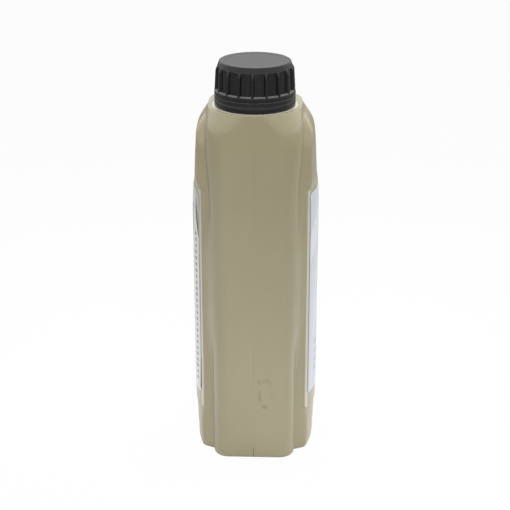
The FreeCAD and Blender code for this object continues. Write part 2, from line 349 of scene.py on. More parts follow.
class Shader:
    """One material and its nodes, with a short call for each kind of node."""

    def __init__(self, name: str) -> None:
        """Start a material whose patterns read the piece's own place, in millimetres.

        Args:
            name: The material's name.
        """
        self.material = bpy.data.materials.new(name)
        self.material.use_nodes = True
        self.tree = self.material.node_tree
        self.surface = self.tree.nodes["Principled BSDF"]
        self.place = self.tree.nodes.new("ShaderNodeTexCoord").outputs["Object"]
        split = self.tree.nodes.new("ShaderNodeSeparateXYZ")
        self.tree.links.new(self.place, split.inputs[0])
        self.x, self.y, self.z = (Term(self, out) * (1 / MM) for out in split.outputs)

    def feed(self, value: Amount, socket: bpy.types.NodeSocket) -> None:
        """Join a term to a socket, or set the socket to a plain number."""
        if isinstance(value, Term):
            self.tree.links.new(value.socket, socket)
        else:
            socket.default_value = value

    def math(self, operation: str, *values: Amount) -> Term:
        """Add a Math node.

        Args:
            operation: The node's operation.
            values: Its inputs in order.

        Returns:
            Its result.
        """
        node = self.tree.nodes.new("ShaderNodeMath")
        node.operation = operation
        for value, socket in zip(values, node.inputs):
            self.feed(value, socket)
        return Term(self, node.outputs[0])

    def above(self, value: Amount, edge: float, soft: float) -> Term:
        """1 where the value is past an edge and 0 before it, changing evenly over soft."""
        node = self.tree.nodes.new("ShaderNodeMapRange")
        self.feed(value, node.inputs["Value"])
        node.inputs["From Min"].default_value = edge - soft / 2
        node.inputs["From Max"].default_value = edge + soft / 2
        return Term(self, node.outputs["Result"])

    def below(self, value: Amount, edge: float, soft: float) -> Term:
        """1 where the value is short of an edge and 0 past it, changing evenly over soft."""
        return self.math("SUBTRACT", 1.0, self.above(value, edge, soft))

    def past(self, value: Amount, edge: Amount) -> Term:
        """1 where the value is over an edge."""
        return self.math("GREATER_THAN", value, edge)

    def short_of(self, value: Amount, edge: Amount) -> Term:
        """1 where the value is under an edge."""
        return self.math("LESS_THAN", value, edge)

    def between(self, value: Amount, low: float, high: float, soft: float) -> Term:
        """1 where the value lies between two edges."""
        return self.above(value, low, soft) - self.above(value, high, soft)

    def patch(self, low_x: float, high_x: float, low_z: float, high_z: float) -> Term:
        """1 inside an upright rectangle on a broad face."""
        soft = 0.3
        return self.between(self.x, low_x, high_x, soft) * self.between(self.z, low_z, high_z, soft)

    def from_axis(self, neck_x: float) -> Term:
        """Distance from the neck's axis."""
        out = self.x - neck_x
        return self.math("SQRT", out * out + self.y * self.y)

    def oval(self, x: Amount, z: Amount, centre: tuple[float, float], half: tuple[float, float]) -> Term:
        """Distance from an oval's centre, in shares of its half axes: 1 on the oval."""
        across = (x - centre[0]) / half[0]
        up = (z - centre[1]) / half[1]
        return self.math("SQRT", across * across + up * up)

    def noise(self, cells_per_mm: float, detail: float = 2.0,
              stretch: tuple[float, float, float] = (1.0, 1.0, 1.0)) -> Term:
        """Cloudy noise round 0.5.

        Args:
            cells_per_mm: How fine it is.
            detail: How many finer layers are added.
            stretch: How much finer it is along each axis.

        Returns:
            The noise's value.
        """
        mapping = self.tree.nodes.new("ShaderNodeMapping")
        self.tree.links.new(self.place, mapping.inputs["Vector"])
        mapping.inputs["Scale"].default_value = stretch
        node = self.tree.nodes.new("ShaderNodeTexNoise")
        self.tree.links.new(mapping.outputs[0], node.inputs["Vector"])
        node.inputs["Scale"].default_value = cells_per_mm / MM
        node.inputs["Detail"].default_value = detail
        return Term(self, node.outputs[0])

    def chance(self, seed: Amount) -> Term:
        """A fixed random number from 0 to 1 for each whole value."""
        node = self.tree.nodes.new("ShaderNodeTexWhiteNoise")
        node.noise_dimensions = "1D"
        self.feed(seed, node.inputs["W"])
        return Term(self, node.outputs["Value"])

    def paint(self, under: Union[bpy.types.NodeSocket, tuple], over: tuple,
              cover: Term) -> bpy.types.NodeSocket:
        """Lay a colour over another where cover is 1.

        Args:
            under: The colour below, a socket or red, green and blue.
            over: The colour on top.
            cover: How much of it shows.

        Returns:
            The mixed colour's socket.
        """
        node = self.tree.nodes.new("ShaderNodeMix")
        node.data_type = "RGBA"
        self.feed(cover, node.inputs[0])
        if isinstance(under, tuple):
            node.inputs[6].default_value = (*under, 1.0)
        else:
            self.tree.links.new(under, node.inputs[6])
        node.inputs[7].default_value = (*over, 1.0)
        return node.outputs[2]

    def dress(self, colour: bpy.types.NodeSocket, roughness: float, relief: Term, depth_mm: float,
              specular: float = 0.5) -> bpy.types.Material:
        """Set the surface from its colour and relief.

        Args:
            colour: The colour's socket.
            roughness: The surface's roughness.
            relief: Height of the fine relief, 0 to 1.
            depth_mm: What 1 in the relief stands for.
            specular: Strength of the gloss, 0.5 for plain plastic.

        Returns:
            The finished material.
        """
        self.tree.links.new(colour, self.surface.inputs["Base Color"])
        self.surface.inputs["Roughness"].default_value = roughness
        self.surface.inputs["Specular IOR Level"].default_value = specular
        bump = self.tree.nodes.new("ShaderNodeBump")
        bump.inputs["Distance"].default_value = depth_mm * MM
        self.feed(relief, bump.inputs["Height"])
        self.tree.links.new(bump.outputs[0], self.surface.inputs["Normal"])
        return self.material


def srgb(red: int, green: int, blue: int) -> tuple[float, float, float]:
    """A screen colour as linear light: the value over 255 to the standard curve.

    Args:
        red: Red from 0 to 255.
        green: Green from 0 to 255.
        blue: Blue from 0 to 255.

    Returns:
        Linear red, green and blue.
    """
    shares = np.array([red, green, blue]) / 255.0
    linear = np.where(shares <= 0.04045, shares / 12.92, ((shares + 0.055) / 1.055) ** 2.4)
    return tuple(float(v) for v in linear)


# Finishes


@dataclass(frozen=True)
class BlownPlastic:
    """Satin blown plastic in pale gold, with parting lines, a pinch-off scar, a scuff, a painted highlight
    on the collar's lip and painted reflections on the panels' edges.
    """

    neck_x: float
    tint: tuple = srgb(166, 156, 124)
    shade: tuple = srgb(158, 148, 116)
    mark: tuple = srgb(104, 96, 74)
    # Colour of the painted highlight on the collar's lip and the painted reflections on the panels' edges.
    pale: tuple = srgb(222, 220, 206)
    roughness: float = 0.36
    specular: float = 0.9
    coat: float = 0.5
    coat_roughness: float = 0.22
    relief_mm: float = 0.12
    near_face_x: float = -40.0
    lower_line: tuple = (6.0, 76.0)
    upper_line: tuple = (150.0, 196.0)
    line_half: float = 0.14
    scar_half: float = 0.22
    scar_top: float = 6.3
    cross_half: float = 1.5
    scuff_centre: tuple = (-7.6, 45.0)
    scuff_half: tuple = (4.3, 9.5)
    rubs: tuple = (((-3.6, 53.0), (1.3, 2.2)), ((-3.8, 41.0), (1.2, 3.4)), ((-7.0, 35.6), (2.2, 0.9)))
    # Where the painted highlight and the painted reflections go.
    lip_z: tuple = (219.35, 222.35)
    lip_radius: float = 24.9
    border_x: tuple = (27.5, 31.4)
    border_y: float = 31.4
    border_z: tuple = (27.6, 171.0)
    border_cover: float = 0.6

    def material(self) -> bpy.types.Material:
        """Mottle the tint, darken the marks on the end beside the neck, then paint the highlight on the
        collar's lip and the reflections on the panels' edges.

        Returns:
            The material.
        """
        s = Shader("blown_plastic")
        near = s.short_of(s.x, self.near_face_x)
        mottle = s.noise(0.02, 3.0, (1.0, 1.0, 0.35))
        colour = s.paint(self.tint, self.shade, s.above(mottle, 0.5, 0.5))
        line = near * self.parting_line(s)
        scar = near * self.scar(s)
        scuff = near * self.scuff(s)
        rubs = near * self.rubbed(s)
        for cover in (line, scar * 0.8, scuff * 0.34, rubs * 0.36):
            colour = s.paint(colour, self.mark, cover)
        # Painted highlight on the collar's lip and painted reflection on the panels' edges, both in the
        # pale colour.
        for cover in (self.lip(s), self.panel_border(s) * self.border_cover):
            colour = s.paint(colour, self.pale, cover)
        relief = s.noise(1.6, 2.0) * 0.25 - scar - line * 0.5 - scuff * 0.5
        s.surface.inputs["Coat Weight"].default_value = self.coat
        s.surface.inputs["Coat Roughness"].default_value = self.coat_roughness
        return s.dress(colour, self.roughness, relief, self.relief_mm, self.specular)

    def parting_line(self, s: Shader) -> Term:
        """A faint hairline up the middle, broken up by noise, in two stretches of height.

        Args:
            s: The shader to add to.

        Returns:
            How much of it shows.
        """
        broken = s.above(s.noise(0.09, 2.0, (1.0, 1.0, 0.5)), 0.5, 0.25)
        hairline = s.between(s.y, -self.line_half, self.line_half, 0.12)
        lower = s.between(s.z, *self.lower_line, 3.0)
        upper = s.between(s.z, *self.upper_line, 12.0)
        return hairline * s.math("MAXIMUM", lower, upper) * (broken * 0.2 + 0.05)

    def scar(self, s: Shader) -> Term:
        """The pinch-off scar at the foot: an upright line with a short fainter line across its top.

        Args:
            s: The shader to add to.

        Returns:
            How much of it shows.
        """
        middle = s.y.size()
        upright = s.below(middle, self.scar_half, 0.16) * s.below(s.z, self.scar_top, 0.3)
        cross = s.between(s.z, self.scar_top - 0.25, self.scar_top + 0.2, 0.2)
        return s.math("MAXIMUM", upright, s.below(middle, self.cross_half, 0.5) * cross * 0.7)

    def scuff(self, s: Shader) -> Term:
        """A wandering broken ring: the band just inside an oval whose distance is shifted by noise.

        Args:
            s: The shader to add to.

        Returns:
            How much of it shows.
        """
        wander = (s.noise(0.22, 3.0) - 0.5) * 0.5
        ring = s.oval(s.y, s.z, self.scuff_centre, self.scuff_half) + wander
        return s.between(ring, 0.8, 1.02, 0.34) * s.above(s.noise(0.16, 2.0), 0.52, 0.16)

    def rubbed(self, s: Shader) -> Term:
        """Short rubbed patches round the scuff: ovals broken up by noise.

        Args:
            s: The shader to add to.

        Returns:
            How much of it shows.
        """
        total = s.below(s.oval(s.y, s.z, *self.rubs[0]), 0.8, 0.5)
        for centre, half in self.rubs[1:]:
            total = s.math("MAXIMUM", total, s.below(s.oval(s.y, s.z, centre, half), 0.8, 0.5))
        return total * s.above(s.noise(0.5, 3.0), 0.5, 0.2)

    def lip(self, s: Shader) -> Term:
        """A painted highlight: a thin pale line on the collar's edge round the band's foot."""
        inside = s.below(s.from_axis(self.neck_x), self.lip_radius, 0.4)
        return inside * s.between(s.z, *self.lip_z, 0.2)

    def panel_border(self, s: Shader) -> Term:
        """A painted reflection of the white surround on the raised panels' upright edges, beside the
        labels.
        """
        beside = s.between(s.x.size(), *self.border_x, 0.3) * s.above(s.y.size(), self.border_y, 0.6)
        return beside * s.between(s.z, *self.border_z, 0.4)


@dataclass(frozen=True)
class MouldedBlack:
    """Fine-grained black moulded plastic, with a knurled zone and a painted highlight on a ledge."""

    name: str
    neck_x: float
    knurl: tuple
    ledge: tuple
    ledge_radius: float
    knurl_count: float = 150.0
    tint: tuple = srgb(16, 16, 16)
    dust: tuple = srgb(28, 28, 28)
    ledge_highlight: tuple = srgb(128, 128, 126)
    roughness: float = 0.32
    relief_mm: float = 0.16

    def material(self) -> bpy.types.Material:
        """Grain all over, a sine of the angle about the neck's axis on the knurl, a painted highlight on
        the ledge.

        Returns:
            The material.
        """
        s = Shader(self.name)
        colour = s.paint(self.tint, self.dust, s.above(s.noise(0.35, 4.0), 0.62, 0.2))
        angle = s.math("ARCTAN2", s.y, s.x - self.neck_x)
        wave = s.math("SINE", angle * self.knurl_count)
        # Painted highlight: a pale ring on the ledge, broken up a little by the knurl's wave.
        ledge = s.between(s.z, *self.ledge, 0.1) * s.below(s.from_axis(self.neck_x), self.ledge_radius, 0.2)
        colour = s.paint(colour, self.ledge_highlight, ledge * (s.above(wave, 0.0, 1.0) * 0.3 + 0.7))
        relief = s.noise(2.2, 3.0) * 0.18 + wave * s.between(s.z, *self.knurl, 0.15) * 0.4
        return s.dress(colour, self.roughness, relief, self.relief_mm)


@dataclass(frozen=True)
class Film:
    """What the two printed films share: a soft waviness and a grey border at the label's ends."""

    border: tuple
    border_x: float
    roughness: float
    relief_mm: float = 0.05

    def edged(self, s: Shader, colour: bpy.types.NodeSocket) -> bpy.types.NodeSocket:
        """Lay the border over a print's colour."""
        return s.paint(colour, self.border, s.past(s.x.size(), self.border_x))

    def finish(self, s: Shader, colour: bpy.types.NodeSocket) -> bpy.types.Material:
        """Finish the material with the film's gloss and waviness."""
        return s.dress(colour, self.roughness, s.noise(0.08, 2.0), self.relief_mm)


@dataclass(frozen=True)
class FrontPrint(Film):
    """Pale blue-grey film with a thin grey border, a light stripe, a disc and plain bars."""

    border: tuple = srgb(160, 164, 166)
    border_x: float = 27.2
    roughness: float = 0.3
    field: tuple = srgb(208, 215, 223)
    paper: tuple = srgb(220, 225, 231)
    white: tuple = srgb(234, 236, 238)
    deep: tuple = srgb(176, 188, 206)
    fade_x: float = -18.0
    fade_width: float = 18.0
    slant: float = 1.1
    stripe: tuple = (153.5, 172.0)
    deep_foot: float = 96.0
    deep_x: float = -20.0
    disc_centre: tuple = (4.0, 122.0)
    disc_radius: float = 12.0
    dot_radius: float = 9.5
    bars: tuple = (-17.0, 12.0, 48.0, 72.0)
    bar_pitch: float = 6.0
    bar_share: float = 0.45

    def material(self) -> bpy.types.Material:
        """Lighten the field away from the edge, then lay the stripe, the disc and the bars on it.

        Returns:
            The material.
        """
        s = Shader("front_print")
        colour = s.paint(self.field, self.paper, s.above(s.x, self.fade_x, self.fade_width))
        along = s.z - s.x * self.slant
        colour = s.paint(colour, self.white, s.between(along, *self.stripe, 0.6) * 0.7)
        low_field = s.short_of(along, self.deep_foot) * s.past(s.x, self.deep_x)
        colour = s.paint(colour, self.deep, low_field * 0.35)
        for tint, radius in ((self.white, self.disc_radius), (self.deep, self.dot_radius)):
            ring = s.oval(s.x, s.z, self.disc_centre, (radius, radius))
            colour = s.paint(colour, tint, s.short_of(ring, 1.0))
        bars = s.patch(*self.bars) * s.short_of(s.math("FRACT", s.z / self.bar_pitch), self.bar_share)
        colour = s.paint(colour, self.border, bars * 0.8)
        return self.finish(s, self.edged(s, colour))


@dataclass(frozen=True)
class BackPrint(Film):
    """White film with a grey head, a dark sweep, a column of short marks and pale bars.

    The sweep and the stroke beside it lean: their place across shifts evenly with height.
    """

    border: tuple = srgb(176, 178, 178)
    border_x: float = 27.4
    roughness: float = 0.34
    paper: tuple = srgb(226, 226, 223)
    head: tuple = srgb(150, 152, 152)
    ink: tuple = srgb(62, 63, 60)
    strip: tuple = srgb(196, 194, 184)
    head_box: tuple = (-16.0, 24.0, 140.0, 158.0)
    sweep_foot: float = 144.0
    sweep_top: float = 169.0
    sweep_slant: float = 0.2
    sweep_x: float = -26.6
    corner_x: float = -26.0
    thin: float = 0.2
    thick: float = 1.2
    stroke_x: float = -22.6
    stroke_low: float = 154.0
    wedge_x: float = -26.5
    wedge_foot: float = 38.0
    wedge_slant: float = 0.06
    row_pitch: float = 4.0
    rows: tuple = (44.0, 144.0)
    mark_x: tuple = (-23.6, -21.4, 1.6)
    bar_x: tuple = (-12.0, 6.0, 16.0)

    def material(self) -> bpy.types.Material:
        """Lay the head, the sweep, the border, the wedge, the marks and the bars over the film.

        Returns:
            The material.
        """
        s = Shader("back_print")
        colour = s.paint(self.paper, self.head, s.patch(*self.head_box))
        across = s.x - (s.z - self.sweep_foot) * self.sweep_slant
        corner = s.short_of(across, self.corner_x) * s.past(s.z, self.sweep_foot)
        colour = s.paint(colour, self.strip, corner)
        swell = s.between(s.z, self.sweep_foot, self.sweep_foot + 16.0, 9.0)
        sweep = s.short_of((across - self.sweep_x).size(), swell * self.thick + self.thin)
        sweep = sweep * s.between(s.z, self.sweep_foot - 4.0, self.sweep_top, 1.0)
        colour = s.paint(colour, self.ink, sweep)
        stroke = s.short_of((across - self.stroke_x).size(), 0.3) * s.past(s.z, self.stroke_low)
        colour = self.edged(s, s.paint(colour, self.border, stroke))
        wedge = s.short_of(s.x + (s.z - self.wedge_foot) * self.wedge_slant, self.wedge_x)
        colour = s.paint(colour, self.ink, wedge * s.above(s.z, self.wedge_foot + 2.0, 1.0))
        row = s.z / self.row_pitch
        block = s.short_of(s.math("FRACT", row), 0.5) * s.between(s.z, *self.rows, 0.2)
        length = s.chance(s.math("FLOOR", row))
        for tint, cover, span in ((self.ink, 0.8, self.mark_x), (self.border, 1.0, self.bar_x)):
            start, shortest, spread = span
            run = s.past(s.x, start) * s.short_of(s.x, length * spread + shortest)
            colour = s.paint(colour, tint, block * run * cover)
        return self.finish(s, colour)


@dataclass(frozen=True)
class FoamWad:
    """White foamed sealing wad."""

    tint: tuple = srgb(226, 225, 218)
    shade: tuple = srgb(206, 205, 198)

    def material(self) -> bpy.types.Material:
        """Pale cells on white."""
        s = Shader("foam_wad")
        cells = s.noise(1.2, 2.0)
        return s.dress(s.paint(self.tint, self.shade, s.above(cells, 0.55, 0.2)), 0.7, cells, 0.1)


@dataclass(frozen=True)
class AmberOil:
    """Glossy amber filling, deeper in colour lower down."""

    tint: tuple = srgb(196, 134, 38)
    deep: tuple = srgb(140, 84, 16)

    def material(self) -> bpy.types.Material:
        """Deepen the colour with depth under the surface."""
        s = Shader("amber_oil")
        depth = s.below(s.z, 170.0, 60.0)
        return s.dress(s.paint(self.tint, self.deep, depth), 0.06, s.noise(0.01, 0.0), 0.02)


# The bottle


@dataclass
class BlownBottle:
    """The bottle in one piece: body, raised label panels, shoulder, collar and threaded neck.

    The body is a field that is below zero inside: a spine with rounded corners and a barrel
    with leaning ends, joined softly, and cut by a slope behind the neck and a cone that runs
    round the neck and a little way straight back.
    """

    half_length: float
    neck_x: float
    collar: float
    rim: float
    wall: float = 1.1
    floor_thickness: float = 2.3
    spine_half: Stations = (
        (0, 24.8), (140, 25.1), (166, 25.9), (180, 26.7), (196, 27.9), (208, 28.2), (220, 27.8))
    spine_corner: Stations = ((0, 9.0), (140, 9.5), (180, 11.0), (196, 12.5), (208, 15.5), (220, 26.0))
    wing_setback: Stations = ((0, 10.6), (184, 10.6), (197, 11.3), (208, 14.0), (220, 18.0))
    wing_root: float = 1.5
    wing_lean_deg: float = 24.0
    crease_half: float = 25.1
    flat_half: float = 5.0
    ridge_half: Stations = (
        (0, 32.0), (10, 32.6), (20, 32.5), (26, 31.5), (29, 30.5), (166.5, 30.5), (170.5, 31.6),
        (175, 33.6), (179, 33.9), (185, 33.7), (191, 33.4), (197, 33.5), (203, 34.0), (208, 33.4),
        (211, 31.8), (213.5, 30.2), (217, 27.8), (220, 25.8))
    broad_half: Stations = (
        (0, 36.0), (3, 36.3), (8, 36.4), (14, 36.8), (20, 37.0), (26, 37.2), (160, 37.2), (171, 36.8),
        (182, 36.3), (192, 35.8), (200, 35.1), (206, 34.2), (209, 33.0), (211, 32.0), (213.5, 30.4),
        (217, 28.0), (220, 26.0))
    least_crown: float = 0.3
    ridge_blend: Stations = ((0, 1.6), (166, 1.6), (174, 0.9), (202, 1.2), (210, 4.0), (220, 5.0))
    groove_blend: Stations = (
        (0, 0.8), (44, 0.9), (66, 4.0), (95, 9.0), (135, 9.0), (156, 4.0), (168, 0.8), (220, 0.6))
    slope_reach: float = 33.0
    slope_drop: float = 82.0
    slope_blend: float = 5.0
    cone_radius: float = 28.3
    cone_deg: float = 56.5
    cone_length: float = 9.0
    cone_blend: float = 2.5
    panel_rise: Stations = ((0, 0.7), (150, 0.7), (171.2, 0.25))
    panel_half: float = 30.9
    panel_low: float = 27.2
    panel_high: float = 171.2
    panel_corner: float = 4.0
    panel_edge: float = 0.25
    foot_round: float = 1.7
    foot_recess: float = 1.2
    foot_rim: float = 6.0
    collar_round: float = 0.5
    neck_radius: float = 18.6
    bore_radius: float = 17.0
    bead_radius: float = 21.3
    bead_low: float = 2.4
    bead_height: float = 1.2
    thread_start: float = 9.5
    thread_pitch: float = 4.0
    thread_turns: float = 2.25
    thread_depth: float = 1.5
    thread_root: float = 2.3
    thread_crest: float = 1.1
    half_columns: int = 172
    turn_worth: float = 7.0
    ray: tuple = (0.5, 75.0)

    def barrel(self, ax: np.ndarray, ay: np.ndarray, z: np.ndarray,
               grow: Union[np.ndarray, float]) -> np.ndarray:
        """The barrel's field: its leaning end faces and its crowned broad faces in common.

        An end face is a plane through the crease, square across inside the spine. A broad face
        is a circle that touches the flat middle and meets the end face at the ridge.

        Args:
            ax: Distance from the middle along X.
            ay: Distance from the middle along Y.
            z: Height.
            grow: How far the barrel is grown outwards.

        Returns:
            The field.
        """
        lean = math.radians(self.wing_lean_deg)
        crease_x = self.half_length - through(z, self.wing_setback)
        past_root = np.maximum(ay - self.crease_half, -self.wing_root)
        end = (ax - crease_x) * math.cos(lean) + past_root * math.sin(lean)
        ridge = through(z, self.ridge_half)
        broad = through(z, self.broad_half)
        chord = crease_x - (ridge - self.crease_half) * math.tan(lean) - self.flat_half
        crown = np.maximum(broad - ridge, self.least_crown)
        radius = (chord**2 + crown**2) / (2 * crown)
        side = np.hypot(np.maximum(ax - self.flat_half, 0.0), ay - (broad - radius)) - radius
        return smooth_max(end, side, through(z, self.ridge_blend)) - grow

    def spine(self, ax: np.ndarray, ay: np.ndarray, z: np.ndarray) -> np.ndarray:
        """The spine's field: a rounded rectangle that widens and rounds towards the collar."""
        half = through(z, self.spine_half)
        return rounded_box(ax, ay, self.half_length, half, through(z, self.spine_corner))

    def field(self, x: np.ndarray, y: np.ndarray, z: np.ndarray) -> np.ndarray:
        """The whole body's field.

        Args:
            x: Place along X.
            y: Place along Y.
            z: Height.

        Returns:
            The field, below zero inside the body.
        """
        ax, ay = np.abs(x), np.abs(y)
        body = smooth_min(self.spine(ax, ay, z), self.barrel(ax, ay, z, 0.0), through(z, self.groove_blend))
        middle = (self.panel_low + self.panel_high) / 2
        edge = rounded_box(ax, z - middle, self.panel_half, self.panel_high - middle, self.panel_corner)
        raised = self.barrel(ax, ay, z, through(z, self.panel_rise))
        panel = smooth_max(raised, edge, self.panel_edge)
        body = np.minimum(body, panel)
        back = self.neck_x + self.slope_reach
        fall = math.hypot(self.slope_drop, self.half_length - back)
        slope = ((x - back) * self.slope_drop + (z - self.collar) * (self.half_length - back)) / fall
        body = smooth_max(body, slope, self.slope_blend)
        steep = math.radians(self.cone_deg)
        reach = self.cone_radius + (self.collar - z) / math.tan(steep)
        behind = x - self.neck_x
        behind = behind - np.clip(behind, 0.0, self.cone_length)
        cone = (np.hypot(behind, y) - reach) * math.sin(steep)
        return smooth_max(body, cone, self.cone_blend)

    def centre(self, z: np.ndarray) -> np.ndarray:
        """Where each level's rays start: the middle below, the neck's axis at the collar."""
        foot = self.collar - self.slope_drop
        return self.neck_x * ease((z - foot) / (self.collar - foot))

    def level(self, z: np.ndarray, angle: np.ndarray, inset: np.ndarray) -> np.ndarray:
        """Points on the body's surface along level rays.

        Args:
            z: Height of each row, as a column.
            angle: Angle of each ray.
            inset: How far inside the surface each row lies, as a column.

        Returns:
            Rows of (x, y, z).
        """
        start = self.centre(z)
        across, along = np.sin(angle), np.cos(angle)
        reach = crossing(
            lambda r: self.field(start + r * along, r * across, z + 0 * r) + inset, *self.ray, angle)
        return np.stack([start + reach * along, reach * across, z + 0 * reach], axis=-1)

    def half_angles(self, z: np.ndarray) -> np.ndarray:
        """Ray angles from the far end round to the near end, closer together at bends.

        Each level's outline is cut into equal shares of its length plus its turning, and the
        shares are averaged over neighbouring levels, so that columns run smoothly upwards.

        Args:
            z: Heights of the rows.

        Returns:
            Angles as (row, place on the half outline).
        """
        levels, dense_count, spread = 56, 900, 3
        height = np.linspace(0.0, self.collar, levels)[:, None]
        dense = np.linspace(0.0, math.pi, dense_count)[None, :] * np.ones_like(height)
        step = np.diff(self.level(height, dense, np.zeros_like(height))[..., :2], axis=1)
        heading = np.unwrap(np.arctan2(step[..., 1], step[..., 0]), axis=1)
        turning = np.abs(np.diff(heading, axis=1, prepend=heading[:, :1]))
        share = np.hypot(step[..., 0], step[..., 1]) + self.turn_worth * turning
        total = np.concatenate([np.zeros_like(height), np.cumsum(share, axis=1)], axis=1)
        total /= total[:, -1:]
        even = np.linspace(0.0, 1.0, self.half_columns + 1)
        table = np.stack([np.interp(even, line, dense[0]) for line in total])
        padded = np.pad(table, ((spread, spread), (0, 0)), mode="edge")
        window = 2 * spread + 1
        table = sum(padded[i:i + levels] for i in range(window)) / window
        place = np.clip(z / self.collar * (levels - 1), 0, levels - 1)
        below = np.minimum(place.astype(int), levels - 2)
        part = (place - below)[:, None]
        return table[below] * (1 - part) + table[below + 1] * part

    def whole(self, half: np.ndarray) -> np.ndarray:
        """Mirror rows on the half outline into closed rings."""
        mirrored = half[:, -2:0:-1] * np.array([1.0, -1.0, 1.0])
        return np.concatenate([half, mirrored], axis=1)

    def body_heights(self) -> np.ndarray:
        """Heights of the body's rows, close together at the panels' ends and the shoulder."""
        tight, close, loose = 0.4, 1.4, 3.6
        corner = self.panel_corner + 0.4
        sill = 0.08
        runs = [
            np.arange(self.foot_round + close, self.panel_low - close, 2 * close),
            [self.panel_low - sill],
            np.arange(self.panel_low + sill, self.panel_low + corner, tight),
            np.arange(self.panel_low + corner + loose, self.panel_high - corner, loose),
            np.arange(self.panel_high - corner, self.panel_high, tight),
            [self.panel_high - sill / 2, self.panel_high + sill],
            np.arange(self.panel_high + close, self.collar - self.collar_round - close / 2, close),
        ]
        return np.concatenate(runs)

    def foot(self) -> np.ndarray:
        """Rings under the body: the recess, the rim and the rounded foot."""
        recess_shares = np.array([0.35, 0.7, 1.0, 1.0])
        recess_heights = np.array([self.foot_recess] * 3 + [0.0])
        angle = self.half_angles(np.zeros(1))
        along, across = np.abs(np.cos(angle)), np.abs(np.sin(angle))
        reach = crossing(
            lambda r: self.spine(r * along, r * across, 0 * r) + self.foot_rim, *self.ray, angle)
        flat = np.stack([reach * np.cos(angle), reach * np.sin(angle), 0 * reach], axis=-1)
        recess = flat * recess_shares[:, None, None]
        recess[..., 2] = recess_heights[:, None]
        turn = np.radians(np.linspace(0.0, 90.0, 9))
        z = self.foot_round * (1 - np.cos(turn))
        inset = self.foot_round * (1 - np.sin(turn))
        rounded = self.level(z[:, None], self.half_angles(z), inset[:, None])
        return np.concatenate([recess, rounded])

    def collar_edge(self) -> np.ndarray:
        """Rings over the collar's rounded edge."""
        turn = np.radians(np.linspace(0.0, 90.0, 5))
        z = self.collar - self.collar_round * (1 - np.sin(turn))
        inset = self.collar_round * (1 - np.cos(turn))
        return self.level(z[:, None], self.half_angles(z), inset[:, None])

    def neck(self, angle: np.ndarray) -> np.ndarray:
        """Rings of the neck from the collar up the thread, over the rim and down the bore.

        Args:
            angle: Angles of the half outline at the collar.

        Returns:
            Points as (ring, place on the half outline, xyz) for both halves.
        """
        row_step = 0.32
        low, high = self.collar + self.bead_low, self.collar + self.bead_low + self.bead_height
        rise = self.bead_radius - self.neck_radius
        outline = profile(
            [
                (self.neck_radius + 1.2, self.collar, 0.0),
                (self.neck_radius, self.collar, 0.5),
                (self.neck_radius, low, 0.2),
                (self.bead_radius, low, 0.2),
                (self.bead_radius, high, 0.2),
                (self.neck_radius, high + rise / 2, 0.3),
                (self.neck_radius, self.rim, 0.5),
                (self.bore_radius, self.rim, 0.3),
                (self.bore_radius, self.collar - self.wall, 0.0),
            ],
            spacing=1.6)
        fine_low = self.collar + self.thread_start - self.thread_root
        fine_high = fine_low + (self.thread_turns + 1) * self.thread_pitch
        top = int(np.argmax(outline[:, 1]))
        fine = np.arange(fine_low, fine_high, row_step)
        rising = outline[:top]
        before, after = rising[rising[:, 1] < fine_low], rising[rising[:, 1] > fine_high]
        threaded = np.stack([np.full(len(fine), self.neck_radius), fine], axis=-1)
        outline = np.concatenate([before, threaded, after, outline[top:]])
        radius, z = outline[:, :1], outline[:, 1:]
        ridge = helix_ridge(angle, z, self.collar + self.thread_start, self.thread_pitch,
                            self.thread_turns, self.thread_root, self.thread_crest)
        outer = np.arange(len(outline))[:, None] < len(before) + len(threaded) + 1
        radius = radius + self.thread_depth * ridge * outer
        return to_points(radius, z + 0 * radius, angle, self.neck_x)

    def inside(self) -> np.ndarray:
        """Rings of the inner wall, from under the collar down to the middle of the floor."""
        ceiling = self.collar - self.wall
        turn = np.radians(np.linspace(0.0, 90.0, 4))
        round_in = 2.0
        top_z = ceiling - round_in * (1 - np.cos(turn))
        top_inset = self.wall + round_in * (1 - np.sin(turn))
        wall_z = np.linspace(ceiling - round_in - 3.0, self.floor_thickness + round_in + 3.0, 44)
        foot_z = self.floor_thickness + round_in * (1 - np.sin(turn))
        foot_inset = self.wall + round_in * (1 - np.cos(turn))
        z = np.concatenate([top_z, wall_z, foot_z])
        inset = np.concatenate([top_inset, np.full(len(wall_z), self.wall), foot_inset])
        rings = self.level(z[:, None], self.half_angles(z), inset[:, None])
        shares = np.array([0.6, 0.25])[:, None, None]
        floor = rings[-1:] * shares
        floor[..., 2] = self.floor_thickness
        return np.concatenate([rings, floor])

    def build(self, finish: BlownPlastic) -> bpy.types.Object:
        """Skin the bottle from the recess under its foot to the floor inside it.

        Args:
            finish: The plastic.

        Returns:
            The bottle.
        """
        heights = self.body_heights()
        body = self.level(heights[:, None], self.half_angles(heights), np.zeros((len(heights), 1)))
        edge = self.collar_edge()
        half = np.concatenate([self.foot(), body, edge])
        angle = self.half_angles(np.array([self.collar]))
        around = np.concatenate([angle, -angle[:, -2:0:-1]], axis=1)
        rings = np.concatenate([self.whole(half), self.neck(around), self.whole(self.inside())])
        piece = ring_piece("blown_bottle", rings, 34.0)
        piece.data.materials.append(finish.material())
        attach(piece, "bottle")
        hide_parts("bottle_shell")
        log.info("blown bottle: %d rings of %d points", *rings.shape[:2])
        return piece


